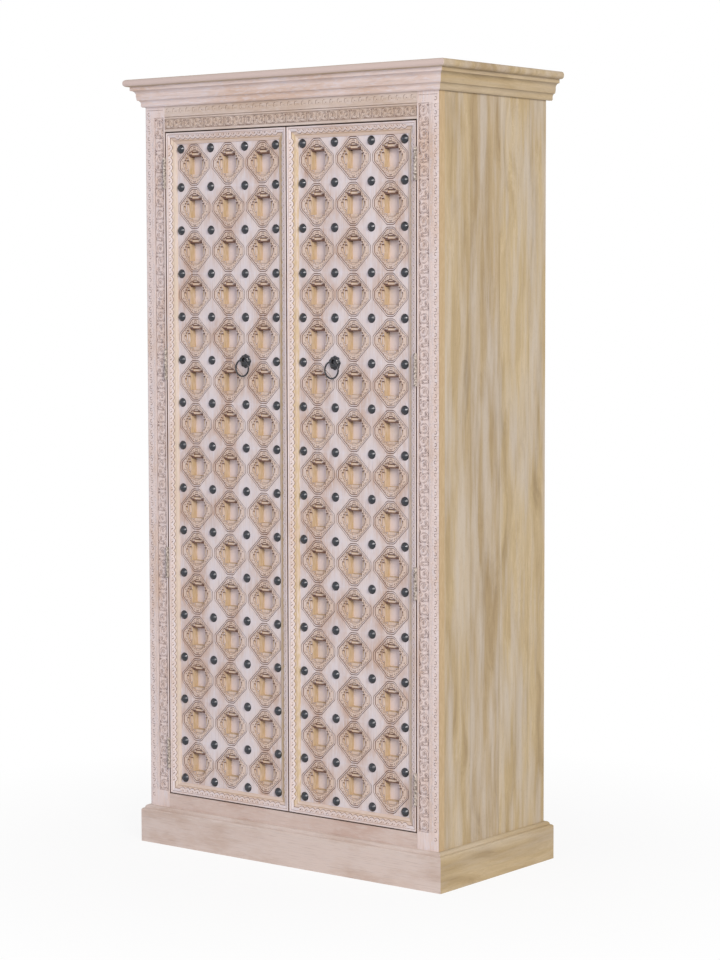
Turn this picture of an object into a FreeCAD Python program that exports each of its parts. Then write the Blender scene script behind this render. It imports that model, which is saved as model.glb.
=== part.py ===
# Tall carved cabinet: two pierced, studded doors in a plain carcass with cornice and plinth.
# Millimetres. X runs to the viewer's right, Y to the back and Z up; the front faces -Y.
# The origin is the middle of the bounding box at floor level.
import FreeCAD, Part
import os

os.makedirs("parts", exist_ok=True)

# Overall size
overall_width = 1004.0
overall_depth = 501.0
overall_height = 1950.0

# Cornice and top board
cornice_overhang = 41.0
cornice_back_overhang = 17.0
top_board_thickness = 18.0
top_board_rounding = 8.0
moulding_height = 51.0
moulding_projection = 28.0

# Plinth
plinth_thickness = 18.0
plinth_height = 95.0
plinth_cap_height = 15.0

# Carcass boards
side_thickness = 22.0
face_frame_thickness = 22.0
back_board_thickness = 12.0
back_board_count = 3
back_board_joint = 0.5
back_foot_height = 60.0
stile_width = 65.0
door_opening_bottom = 131.0
top_rail_width = 115.0
bottom_rail_foot = 30.0
shelf_board_thickness = 18.0
board_set_back = 3.0
frame_groove_width = 3.0
frame_groove_depth = 1.5
frame_groove_offset = 38.0

# Shelves
lower_shelf_height = 520.0
middle_shelf_height = 930.0
upper_shelf_height = 1350.0
shelf_front_clearance = 8.0
cleat_width = 20.0
cleat_height = 25.0
cleat_front_set_back = 20.0

# Doors
door_thickness = 44.0
door_side_gap = 3.0
door_end_gap = 3.0
meeting_gap = 3.0
meeting_edge_relief = 3.2
frame_face_width = 28.5
frame_lap = 7.0
frame_lip_width = 3.0
carved_band_width = 16.0
carved_band_drop = 6.0
panel_recess = 12.0
frame_inner_lip = 1.8
backing_thickness = 6.0

# Pierced lattice
lattice_column_count = 3
lattice_row_count = 15
recess_width = 66.0
recess_height = 68.0
recess_tip_width = 23.0
recess_depth = 7.0
piercing_width = 41.6
piercing_height = 45.0
opening_rise = 1.2

# Studs
stud_diameter = 23.0
stud_crown_diameter = 11.0
stud_height = 9.0
stud_side_count = 8
stud_inset = 12.5

# Hinges, whose middles stand at these shares of the door's height
hinge_height_shares = (0.0613, 0.3536, 0.6542, 0.9405)
hinge_length = 78.0
hinge_leaf_thickness = 1.2
hinge_leaf_width = 28.0
hinge_barrel_diameter = 8.0
hinge_barrel_side_count = 8
hinge_barrel_clearance = 0.4
hinge_knuckle_count = 5
hinge_knuckle_gap = 0.4
hinge_pin_diameter = 3.0
hinge_pin_side_count = 6
hinge_pin_clearance = 0.25
hinge_tab_overlap = 0.8

# Ring pulls, which stand above this many rows and outside this many columns of openings
pull_row_count = 10
pull_column_count = 1
boss_diameter = 36.0
boss_rim_thickness = 2.0
boss_height = 9.0
boss_crown_diameter = 16.0
boss_side_count = 16
eye_reach = 14.0
eye_diameter = 11.0
eye_width = 8.0
eye_side_count = 8
eye_rise = 4.0
ring_diameter = 42.0
ring_side_count = 20
ring_bar_diameter = 5.0
ring_bar_side_count = 6
ring_bar_clearance = 1.0

# Catches
catch_width = 46.0
catch_depth = 16.0
catch_height = 15.0
catch_gap = 0.5
strike_thickness = 1.5
strike_height = 14.0
catch_centre_from_middle = 62.0

# One overrun carries every cutting shape past the faces that it cuts
overrun = 5.0

# Places worked out from the sizes
body_width = overall_width - 2 * cornice_overhang
body_depth = overall_depth - cornice_overhang - plinth_thickness
front_y = cornice_overhang - overall_depth / 2
back_y = front_y + body_depth
side_x = body_width / 2
inner_x = side_x - side_thickness
opening_x = side_x - stile_width
top_board_bottom = overall_height - top_board_thickness
door_opening_top = top_board_bottom - top_rail_width
inner_top_bottom = door_opening_top + board_set_back
frame_back_y = front_y + face_frame_thickness
back_board_y = back_y - back_board_thickness
door_outer_x = opening_x - door_side_gap
door_inner_x = meeting_gap / 2
door_bottom = door_opening_bottom + door_end_gap
door_top = door_opening_top - door_end_gap
door_back_y = front_y + door_thickness
panel_face_y = front_y + panel_recess
backing_face_y = door_back_y - backing_thickness
lattice_left = door_inner_x + frame_face_width
lattice_right = door_outer_x - frame_face_width
lattice_bottom = door_bottom + frame_face_width
lattice_top = door_top - frame_face_width
column_pitch = (lattice_right - lattice_left) / lattice_column_count
row_pitch = (lattice_top - lattice_bottom) / lattice_row_count
hinge_axis_x = opening_x - door_side_gap / 2
hinge_axis_y = front_y - hinge_barrel_diameter / 2 - hinge_barrel_clearance
eye_y = panel_face_y - eye_reach
MIRROR = FreeCAD.Vector(1, 0, 0)
ORIGIN = FreeCAD.Vector(0, 0, 0)


def vector(x, y, z):
    return FreeCAD.Vector(x, y, z)


def board(x0, x1, y0, y1, z0, z1):
    return Part.makeBox(x1 - x0, y1 - y0, z1 - z0, vector(x0, y0, z0))


def save(name, shape):
    shape.exportStep("parts/" + name + ".step")


def save_pair(name, shape):
    """Save a right-hand piece and its left-hand mirror image."""
    save("right_" + name, shape)
    save("left_" + name, shape.mirror(ORIGIN, MIRROR))


def flat_face(points):
    return Part.Face(Part.makePolygon(points + points[:1]))


def prism(points, sweep):
    return flat_face(points).extrude(sweep)


def outline_face(steps, place):
    """Face inside steps of straight points and (middle, end) arcs; place maps them to 3-D."""
    edges = []
    last = steps[0]
    for step in steps[1:] + steps[:1]:
        if isinstance(step[0], tuple):
            middle, end = step
            edges.append(Part.Arc(place(*last), place(*middle), place(*end)).toShape())
            last = end
        elif step != last:
            edges.append(Part.makeLine(place(*last), place(*step)))
            last = step
    return Part.Face(Part.Wire(edges))


def regular_points(sides, across, centre, start, axis):
    """Corner points of a regular polygon that a circle of the given diameter encloses."""
    points = []
    for index in range(sides):
        turn = FreeCAD.Rotation(axis, 360 * (index + 0.5) / sides)
        points.append(centre + turn.multVec(start * (across / 2)))
    return points


def faceted_solid(loops, endless=False):
    """Flat-faced solid through loops of points of equal count, capped unless it is endless."""
    faces = [] if endless else [flat_face(loops[0]), flat_face(loops[-1])]
    following = loops[1:] + loops[:1] if endless else loops[1:]
    for lower, upper in zip(loops, following):
        for index in range(len(lower)):
            after = (index + 1) % len(lower)
            faces.append(flat_face([lower[index], lower[after], upper[after], upper[index]]))
    return Part.Solid(Part.Shell(faces))


# Cornice: a bullnosed board over a stepped and coved moulding, mitred at the front corners
# Shares run outward from the body face and downward from the underside of the board.
cornice_shares = [
    (0, 0),
    (1, 0),
    (1, 0.19),
    (0.93, 0.19),
    ((0.70, 0.26), (0.61, 0.43)),
    (0.61, 0.49),
    (0.54, 0.67),
    (0.45, 0.67),
    ((0.33, 0.74), (0.29, 0.88)),
    (0.29, 0.94),
    (0.22, 1),
    (0, 1),
]


def scaled(shares, width, height):
    """Turn shares, and pairs of shares for arcs, into lengths."""
    steps = []
    for share in shares:
        if isinstance(share[0], tuple):
            steps.append(tuple((a * width, b * height) for a, b in share))
        else:
            steps.append((share[0] * width, share[1] * height))
    return steps


def moulding_runs(steps, reach, base_z, rise, back_end, closed_back):
    """Runs of one profile along the front, the right side and, where closed, the back."""
    height = max(abs(step[1]) for step in steps if not isinstance(step[0], tuple))
    low = min(base_z, base_z + rise * height) - overrun
    lift = vector(0, 0, height + 2 * overrun)
    front = outline_face(steps, lambda out, up: vector(-side_x - reach, front_y - out, base_z + rise * up))
    front = front.extrude(vector(2 * (side_x + reach), 0, 0))
    front_plan = [
        vector(-side_x - reach, front_y - reach, low),
        vector(side_x + reach, front_y - reach, low),
        vector(side_x, front_y, low),
        vector(-side_x, front_y, low),
    ]
    side = outline_face(steps, lambda out, up: vector(side_x + out, front_y - reach, base_z + rise * up))
    side = side.extrude(vector(0, back_end + reach - front_y, 0))
    side_plan = [
        vector(side_x, front_y, low),
        vector(side_x + reach, front_y - reach, low),
        vector(side_x + reach, back_end, low),
        vector(side_x, back_end - reach if closed_back else back_end, low),
    ]
    runs = [front.common(prism(front_plan, lift)), side.common(prism(side_plan, lift))]
    if closed_back:
        back = outline_face(
            steps, lambda out, up: vector(-side_x - reach, back_y + out, base_z + rise * up))
        back = back.extrude(vector(2 * (side_x + reach), 0, 0))
        back_plan = [
            vector(-side_x, back_y, low),
            vector(side_x, back_y, low),
            vector(side_x + reach, back_y + reach, low),
            vector(-side_x - reach, back_y + reach, low),
        ]
        runs.append(back.common(prism(back_plan, lift)))
    return runs


def make_cornice():
    steps = scaled(cornice_shares, moulding_projection, moulding_height)
    back_end = back_y + cornice_back_overhang
    front, side = moulding_runs(steps, moulding_projection, top_board_bottom, -1, back_end, False)
    save("cornice_front_moulding", front)
    save_pair("cornice_side_moulding", side)


def rounded_steps(first, last, both_ends):
    """Board section from first to last across, with one or both ends bullnosed."""
    radius = top_board_rounding
    bulge = radius * (1 - 1 / 2**0.5)
    low = top_board_bottom
    high = overall_height
    steps = [
        (first + radius, low),
        (last - radius if both_ends else last, low),
    ]
    if both_ends:
        steps.append(((last - bulge, low + bulge), (last, low + radius)))
        steps.append((last, high - radius))
        steps.append(((last - bulge, high - bulge), (last - radius, high)))
    else:
        steps.append((last, high))
    steps.append((first + radius, high))
    steps.append(((first + bulge, high - bulge), (first, high - radius)))
    steps.append((first, low + radius))
    steps.append(((first + bulge, low + bulge), (first + radius, low)))
    return steps


def make_top_board():
    half = overall_width / 2
    front = front_y - cornice_overhang
    back = back_y + cornice_back_overhang
    along = outline_face(rounded_steps(front, back, False), lambda y, z: vector(-half, y, z))
    across = outline_face(rounded_steps(-half, half, True), lambda x, z: vector(x, front, z))
    shape = along.extrude(vector(overall_width, 0, 0))
    shape = shape.common(across.extrude(vector(0, back - front, 0)))
    save("top_board", shape)


# Plinth: four boards mitred round the foot, with a double-rounded cap
plinth_cap_shares = [
    (1, 0),
    ((0.94, 0.28), (0.78, 0.42)),
    (0.62, 0.42),
    ((0.52, 0.82), (0.22, 1)),
    (0, 1),
]


def make_plinth():
    shoulder = plinth_height - plinth_cap_height
    steps = [(0, 0), (plinth_thickness, 0)]
    for share in scaled(plinth_cap_shares, plinth_thickness, plinth_cap_height):
        if isinstance(share[0], tuple):
            steps.append(tuple((out, shoulder + up) for out, up in share))
        else:
            steps.append((share[0], shoulder + share[1]))
    back_end = back_y + plinth_thickness
    front, side, back = moulding_runs(steps, plinth_thickness, 0, 1, back_end, True)
    save("front_plinth_board", front)
    save_pair("plinth_board", side)
    save("back_plinth_board", back)


def make_sides_and_face_frame():
    """Sides, and stiles and rails in front of them with a groove round the door opening."""
    side = board(inner_x, side_x, frame_back_y, back_y, 0, top_board_bottom)
    save_pair("side_panel", side)

    groove_x = opening_x + frame_groove_offset
    groove_end = groove_x + frame_groove_width
    groove_bottom = door_opening_bottom - frame_groove_width
    groove_top = door_opening_top + frame_groove_offset
    groove_crown = groove_top + frame_groove_width
    groove_face = front_y - overrun
    groove_back = front_y + frame_groove_depth
    upright = board(groove_x, groove_end, groove_face, groove_back, groove_bottom, groove_crown)
    level = board(-groove_end, groove_end, groove_face, groove_back, groove_top, groove_crown)

    stile = board(opening_x, side_x, front_y, frame_back_y, 0, top_board_bottom)
    save_pair("front_stile", stile.cut([upright, level]))
    top_rail = board(-opening_x, opening_x, front_y, frame_back_y, door_opening_top, top_board_bottom)
    save("top_front_rail", top_rail.cut(level))
    bottom_rail = board(-opening_x, opening_x, front_y, frame_back_y, bottom_rail_foot,
                        door_opening_bottom)
    save("bottom_front_rail", bottom_rail)


def make_inner_boards():
    """Floor and inner top set back from the opening, and upright boards across the back."""
    floor_top = door_opening_bottom - board_set_back
    floor = board(-inner_x, inner_x, frame_back_y, back_board_y, floor_top - shelf_board_thickness,
                  floor_top)
    save("floor_board", floor)
    inner_top = board(-inner_x, inner_x, frame_back_y, back_board_y, inner_top_bottom,
                      inner_top_bottom + shelf_board_thickness)
    save("inner_top_board", inner_top)

    pitch = 2 * inner_x / back_board_count
    for index, name in enumerate(("left", "middle", "right")):
        start = -inner_x + index * pitch
        joint_start = back_board_joint / 2 if index > 0 else 0
        joint_end = back_board_joint / 2 if index < back_board_count - 1 else 0
        plank = board(start + joint_start, start + pitch - joint_end, back_board_y, back_y,
                      back_foot_height, top_board_bottom)
        save(name + "_back_board", plank)


def make_shelves():
    """Three loose shelves, each on a cleat at either side."""
    shelf_front = door_back_y + shelf_front_clearance
    heights = {
        "lower_shelf": lower_shelf_height,
        "middle_shelf": middle_shelf_height,
        "upper_shelf": upper_shelf_height,
    }
    cleats = []
    for name, height in heights.items():
        shelf = board(-inner_x, inner_x, shelf_front, back_board_y, height,
                      height + shelf_board_thickness)
        save(name, shelf)
        cleats.append(board(inner_x - cleat_width, inner_x, shelf_front + cleat_front_set_back,
                            back_board_y, height - cleat_height, height))
    save_pair("shelf_cleats", Part.makeCompound(cleats))


def door_member_section(relief):
    """Section of a door frame member: across from the door's edge, back from its face."""
    return [
        (0, 0),
        (frame_lip_width, 0),
        (frame_lip_width + carved_band_width, carved_band_drop),
        (frame_face_width, panel_recess - frame_inner_lip),
        (frame_face_width, panel_recess),
        (frame_face_width - frame_lap, panel_recess),
        (frame_face_width - frame_lap, door_thickness),
        (relief, door_thickness),
    ]


def make_door_frame():
    """Four mitred members; the meeting edge is backed off so that the doors pass each other."""
    width = door_outer_x - door_inner_x
    height = door_top - door_bottom
    square = door_member_section(0)
    relieved = door_member_section(meeting_edge_relief)
    half = min(width, height) / 2
    far = door_thickness + 2 * overrun
    near_y = front_y - overrun
    bevel = prism([
        vector(door_inner_x - overrun, near_y, door_bottom - overrun),
        vector(door_inner_x, near_y, door_bottom - overrun),
        vector(door_inner_x, front_y, door_bottom - overrun),
        vector(door_inner_x + meeting_edge_relief, door_back_y, door_bottom - overrun),
        vector(door_inner_x + meeting_edge_relief, door_back_y + overrun, door_bottom - overrun),
        vector(door_inner_x - overrun, door_back_y + overrun, door_bottom - overrun),
    ], vector(0, 0, height + 2 * overrun))

    def member(section, place, sweep, plan):
        face = Part.Face(Part.makePolygon([place(u, d) for u, d in section + section[:1]]))
        wedge = prism([vector(x, near_y, z) for x, z in plan], vector(0, far, 0))
        return face.extrude(sweep).common(wedge)

    hinge_stile = member(
        square,
        lambda u, d: vector(door_outer_x - u, front_y + d, door_bottom),
        vector(0, 0, height),
        [(door_outer_x, door_bottom), (door_outer_x, door_top),
         (door_outer_x - half, door_top - half), (door_outer_x - half, door_bottom + half)])
    meeting_stile = member(
        relieved,
        lambda u, d: vector(door_inner_x + u, front_y + d, door_bottom),
        vector(0, 0, height),
        [(door_inner_x, door_bottom), (door_inner_x, door_top),
         (door_inner_x + half, door_top - half), (door_inner_x + half, door_bottom + half)])
    top_rail = member(
        square,
        lambda u, d: vector(door_inner_x, front_y + d, door_top - u),
        vector(width, 0, 0),
        [(door_inner_x, door_top), (door_outer_x, door_top),
         (door_outer_x - half, door_top - half), (door_inner_x + half, door_top - half)])
    bottom_rail = member(
        square,
        lambda u, d: vector(door_inner_x, front_y + d, door_bottom + u),
        vector(width, 0, 0),
        [(door_inner_x, door_bottom), (door_outer_x, door_bottom),
         (door_outer_x - half, door_bottom + half), (door_inner_x + half, door_bottom + half)])
    save_pair("door_hinge_stile", hinge_stile)
    save_pair("door_meeting_stile", meeting_stile)
    save_pair("door_top_rail", top_rail.cut(bevel))
    save_pair("door_bottom_rail", bottom_rail.cut(bevel))


def blunt_diamond(half_width, half_height, tip):
    """Eight corners of a diamond whose points are cut off square."""
    quarter = [(tip / 2, half_height), (half_width, tip / 2)]
    lower = [(across, -up) for across, up in reversed(quarter)]
    right = quarter + lower
    return right + [(-across, up) for across, up in reversed(right)]


def make_lattice():
    """Pierced panel: each opening is a sunk blunt diamond with an oblong piercing in its middle."""
    panel = board(lattice_left - frame_lap, lattice_right + frame_lap, panel_face_y, backing_face_y,
                  lattice_bottom - frame_lap, lattice_top + frame_lap)
    recess = blunt_diamond(recess_width / 2, recess_height / 2, recess_tip_width)
    near_y = panel_face_y - overrun
    cutters = []
    for column in range(lattice_column_count):
        for row in range(lattice_row_count):
            x = lattice_left + (column + 0.5) * column_pitch
            z = lattice_bottom + (row + 0.5) * row_pitch + opening_rise
            corners = [vector(x + across, near_y, z + up) for across, up in recess]
            cutters.append(prism(corners, vector(0, overrun + recess_depth, 0)))
            cutters.append(board(x - piercing_width / 2, x + piercing_width / 2, near_y,
                                 backing_face_y + overrun, z - piercing_height / 2,
                                 z + piercing_height / 2))
    save_pair("lattice_panel", panel.cut(cutters))
    backing = board(lattice_left - frame_lap, lattice_right + frame_lap, backing_face_y, door_back_y,
                    lattice_bottom - frame_lap, lattice_top + frame_lap)
    save_pair("door_backing_board", backing)


def stud_places():
    """Columns and rows of studs on the lattice crossings, drawn in at the frame."""
    columns = [lattice_left + index * column_pitch for index in range(lattice_column_count + 1)]
    columns[0] += stud_inset
    columns[-1] -= stud_inset
    rows = [lattice_bottom + index * row_pitch for index in range(lattice_row_count + 1)]
    rows[0] += stud_inset
    rows[-1] -= stud_inset
    return columns, rows


def make_studs():
    """Faceted domed nails seated on the lattice, leaving out the one where the pull sits."""
    columns, rows = stud_places()
    axis = vector(0, 1, 0)
    foot = regular_points(stud_side_count, stud_diameter, vector(0, panel_face_y, 0), vector(1, 0, 0), axis)
    crown_centre = vector(0, panel_face_y - stud_height, 0)
    crown = regular_points(stud_side_count, stud_crown_diameter, crown_centre, vector(1, 0, 0), axis)
    stud = faceted_solid([foot, crown])
    studs = []
    for column, x in enumerate(columns):
        for row, z in enumerate(rows):
            if (column, row) != (pull_column_count, pull_row_count):
                studs.append(stud.translated(vector(x, 0, z)))
    save_pair("door_studs", Part.makeCompound(studs))


def barrel_piece(low, high, hole):
    """One knuckle of a hinge barrel, bored for the pin."""
    axis = vector(0, 0, 1)
    centre = vector(hinge_axis_x, hinge_axis_y, low)
    sweep = vector(0, 0, high - low)
    outside = regular_points(hinge_barrel_side_count, hinge_barrel_diameter, centre, vector(1, 0, 0), axis)
    inside = regular_points(hinge_pin_side_count, hole, centre, vector(1, 0, 0), axis)
    return prism(outside, sweep).cut(prism(inside, sweep))


def make_hinges():
    """Five-knuckle butt hinges: leaves on the stile and door edges, knuckles in front of the gap."""
    length = (hinge_length - (hinge_knuckle_count - 1) * hinge_knuckle_gap) / hinge_knuckle_count
    pin_hole = hinge_pin_diameter + 2 * hinge_pin_clearance
    half_side = FreeCAD.Rotation(vector(0, 0, 1), 180 / hinge_pin_side_count)
    hole_across = pin_hole / half_side.multVec(vector(1, 0, 0)).x
    leaf_back = front_y + hinge_leaf_width
    tab_front = hinge_axis_y + hinge_barrel_diameter / 2 - hinge_tab_overlap
    frame_halves = []
    door_halves = []
    pins = []
    for share in hinge_height_shares:
        centre = door_bottom + share * (door_top - door_bottom)
        low = centre - hinge_length / 2
        high = centre + hinge_length / 2
        frame_half = board(opening_x - hinge_leaf_thickness, opening_x, front_y, leaf_back, low, high)
        door_half = board(door_outer_x, door_outer_x + hinge_leaf_thickness, front_y, leaf_back, low,
                          high)
        for index in range(hinge_knuckle_count):
            start = low + index * (length + hinge_knuckle_gap)
            knuckle = barrel_piece(start, start + length, hole_across)
            if index % 2 == 0:
                tab = board(opening_x - hinge_leaf_thickness, opening_x, tab_front, front_y, start,
                            start + length)
                frame_half = frame_half.fuse([knuckle, tab])
            else:
                tab = board(door_outer_x, door_outer_x + hinge_leaf_thickness, tab_front, front_y,
                            start, start + length)
                door_half = door_half.fuse([knuckle, tab])
        frame_halves.append(frame_half.removeSplitter())
        door_halves.append(door_half.removeSplitter())
        pin_foot = regular_points(hinge_pin_side_count, hinge_pin_diameter,
                                  vector(hinge_axis_x, hinge_axis_y, low), vector(1, 0, 0),
                                  vector(0, 0, 1))
        pins.append(prism(pin_foot, vector(0, 0, hinge_length)))
    save_pair("hinge_frame_halves", Part.makeCompound(frame_halves))
    save_pair("hinge_door_halves", Part.makeCompound(door_halves))
    save_pair("hinge_pins", Part.makeCompound(pins))


def make_pulls():
    """Domed boss with an eye, and a ring hanging through the eye."""
    columns, rows = stud_places()
    x = columns[pull_column_count]
    z = rows[pull_row_count]
    eye_z = z + eye_rise
    tiers = [
        (boss_diameter, 0),
        (boss_diameter, boss_rim_thickness),
        ((boss_diameter + boss_crown_diameter) / 2, (boss_height + boss_rim_thickness) * 2 / 3),
        (boss_crown_diameter, boss_height),
    ]
    boss = faceted_solid([
        regular_points(boss_side_count, across, vector(x, panel_face_y - up, z), vector(1, 0, 0),
                       vector(0, 1, 0))
        for across, up in tiers])
    bar_hole = ring_bar_diameter + 2 * ring_bar_clearance
    eye_centre = vector(x - eye_width / 2, eye_y, eye_z)
    eye_axis = vector(1, 0, 0)
    eye_sweep = vector(eye_width, 0, 0)
    eye_face = regular_points(eye_side_count, eye_diameter, eye_centre, vector(0, 0, 1), eye_axis)
    eye_hole = regular_points(eye_side_count, bar_hole, eye_centre, vector(0, 0, 1), eye_axis)
    neck = board(x - eye_width / 2, x + eye_width / 2, eye_y, panel_face_y - boss_height / 2,
                 eye_z - eye_diameter / 3, eye_z + eye_diameter / 3)
    boss = boss.fuse([prism(eye_face, eye_sweep), neck])
    boss = boss.cut(prism(eye_hole, eye_sweep)).removeSplitter()
    save_pair("ring_pull_boss", boss)

    ring_radius = ring_diameter / 2
    ring_centre = vector(x, eye_y, eye_z - ring_radius)
    bar = regular_points(ring_bar_side_count, ring_bar_diameter, vector(ring_radius, 0, 0),
                         vector(1, 0, 0), vector(0, 0, 1))
    loops = []
    for index in range(ring_side_count):
        turn = FreeCAD.Rotation(vector(0, 1, 0), 360 * (index + 0.5) / ring_side_count)
        loops.append([ring_centre + turn.multVec(point) for point in bar])
    save_pair("pull_ring", faceted_solid(loops, endless=True))


def make_catches():
    """Magnetic catch under the inner top and its strike plate on the door's back."""
    middle = catch_centre_from_middle
    high = inner_top_bottom
    front = door_back_y + strike_thickness + catch_gap
    catch = board(middle - catch_width / 2, middle + catch_width / 2, front, front + catch_depth,
                  high - catch_height, high)
    save_pair("magnetic_catch", catch)
    strike = board(middle - catch_width / 2, middle + catch_width / 2, door_back_y,
                   door_back_y + strike_thickness, door_top - strike_height, door_top)
    save_pair("strike_plate", strike)


make_cornice()
make_top_board()
make_plinth()
make_sides_and_face_frame()
make_inner_boards()
make_shelves()
make_door_frame()
make_lattice()
make_studs()
make_hinges()
make_pulls()
make_catches()
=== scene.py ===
import math

import bmesh
import bpy
from mathutils import Matrix, Vector, geometry


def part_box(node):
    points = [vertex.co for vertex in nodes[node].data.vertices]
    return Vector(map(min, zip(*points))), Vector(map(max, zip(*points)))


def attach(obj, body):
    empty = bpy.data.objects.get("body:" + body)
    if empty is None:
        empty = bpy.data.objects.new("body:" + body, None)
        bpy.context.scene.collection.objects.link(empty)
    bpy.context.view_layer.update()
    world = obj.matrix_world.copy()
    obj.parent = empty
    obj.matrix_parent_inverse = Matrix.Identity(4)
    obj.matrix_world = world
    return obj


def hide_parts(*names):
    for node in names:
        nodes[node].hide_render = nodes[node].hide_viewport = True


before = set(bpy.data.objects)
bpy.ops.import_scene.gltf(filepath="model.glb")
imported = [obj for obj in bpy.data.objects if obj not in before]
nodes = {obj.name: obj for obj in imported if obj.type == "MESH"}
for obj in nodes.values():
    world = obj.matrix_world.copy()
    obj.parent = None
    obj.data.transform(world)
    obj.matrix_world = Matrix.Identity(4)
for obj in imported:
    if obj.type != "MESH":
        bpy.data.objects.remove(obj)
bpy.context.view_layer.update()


# Side panels, floor, shelves and back
# Planed mango boards glued edge to edge into panels, rubbed with a thin pale wash and waxed.
# The sides and back are fixed to the face frame, and carry the floor, the top and the shelves.
MM = 0.001


def linear(code):
    """Linear colour from an sRGB hex code."""
    channels = [int(code[i:i + 2], 16) / 255 for i in (1, 3, 5)]
    return [c / 12.92 if c <= 0.04045 else ((c + 0.055) / 1.055) ** 2.4 for c in channels] + [1]


def add(tree, kind, inputs=None, stops=None, **settings):
    """Add a node with its settings, ramp stops, and inputs: values, colours, sockets or whole nodes."""
    made = tree.nodes.new(kind)
    for key, value in settings.items():
        setattr(made, key, value)
    if stops:
        while len(made.color_ramp.elements) < len(stops):
            made.color_ramp.elements.new(1)
        for element, (place, code) in zip(made.color_ramp.elements, stops):
            element.position = place
            element.color = linear(code)
    for key, value in (inputs or {}).items():
        if isinstance(value, bpy.types.Node):
            value = next(socket for socket in value.outputs if socket.enabled)
        if isinstance(value, bpy.types.NodeSocket):
            tree.links.new(value, made.inputs[key])
        elif isinstance(value, str) and value.startswith("#"):
            made.inputs[key].default_value = linear(value)
        else:
            made.inputs[key].default_value = value
    return made


def new_material(name):
    """An empty material, its tree, and the place on the piece in millimetres."""
    material = bpy.data.materials.new(name)
    material.use_nodes = True
    tree = material.node_tree
    tree.nodes.clear()
    given = add(tree, "ShaderNodeTexCoord")
    place = add(tree, "ShaderNodeMapping", {0: given.outputs["Object"], "Scale": [1 / MM] * 3})
    return material, tree, place


def laid_over(tree, under, over, pattern, low, high, most=1.0, kind="MIX"):
    """A colour over another, from none where a pattern is low to most where it is high."""
    share = add(tree, "ShaderNodeMapRange", {0: pattern, 1: low, 2: high, 4: most})
    return add(tree, "ShaderNodeMix", {0: share, 6: under, 7: over}, data_type="RGBA", blend_type=kind)


def grain_marks(tree, place, grain_axis, across, along, detail):
    """Noise in marks of this many millimetres across and along the grain."""
    scale = [1 / across] * 3
    scale[grain_axis] = 1 / along
    mapped = add(tree, "ShaderNodeMapping", {0: place, "Scale": scale})
    return add(tree, "ShaderNodeTexNoise", {"Vector": mapped, "Scale": 1.0, "Detail": detail,
                                            "Roughness": 0.58})


def coated(tree, height, strength, reach, inputs):
    """The surface itself: a small relief from a pattern, and the other inputs of its shader."""
    bump = add(tree, "ShaderNodeBump", {"Height": height, "Strength": strength, "Distance": reach})
    skin = add(tree, "ShaderNodeBsdfPrincipled", {"Normal": bump, **inputs})
    add(tree, "ShaderNodeOutputMaterial", {"Surface": skin})


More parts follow.
